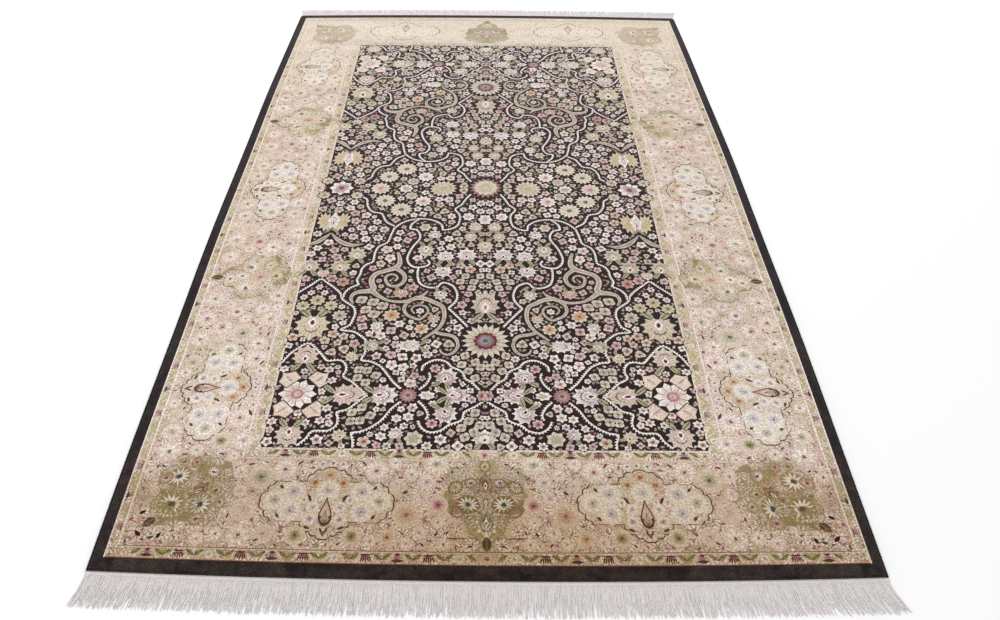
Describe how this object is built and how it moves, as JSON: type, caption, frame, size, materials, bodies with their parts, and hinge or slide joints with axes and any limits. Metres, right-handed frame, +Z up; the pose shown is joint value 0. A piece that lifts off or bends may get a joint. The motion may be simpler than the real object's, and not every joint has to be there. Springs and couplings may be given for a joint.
{
  "type": "persian rug",
  "caption": "Rectangular hand-knotted Persian rug lying flat, with overcast long sides and a warp fringe at each end.",
  "frame": {"origin": "centre of the rug's underside, on the floor", "axes": "+X across the rug, +Y along its length towards the far fringe, +Z up"},
  "size_m": [1.5689, 2.6401, 0.009],
  "materials": {
    "pile": "clipped wool pile, knotted in beige, ivory, olive, dusty red and dark aubergine brown",
    "overcasting": "dark wool, wrapped tightly round the edge cords",
    "warp_cotton": "undyed cotton, matt"
  },
  "bodies": {
    "root": {"pile_body": "pile", "selvedge_left": "overcasting", "selvedge_right": "overcasting", "fringe_front": "warp_cotton", "fringe_back": "warp_cotton"}
  },
  "joints": []
}
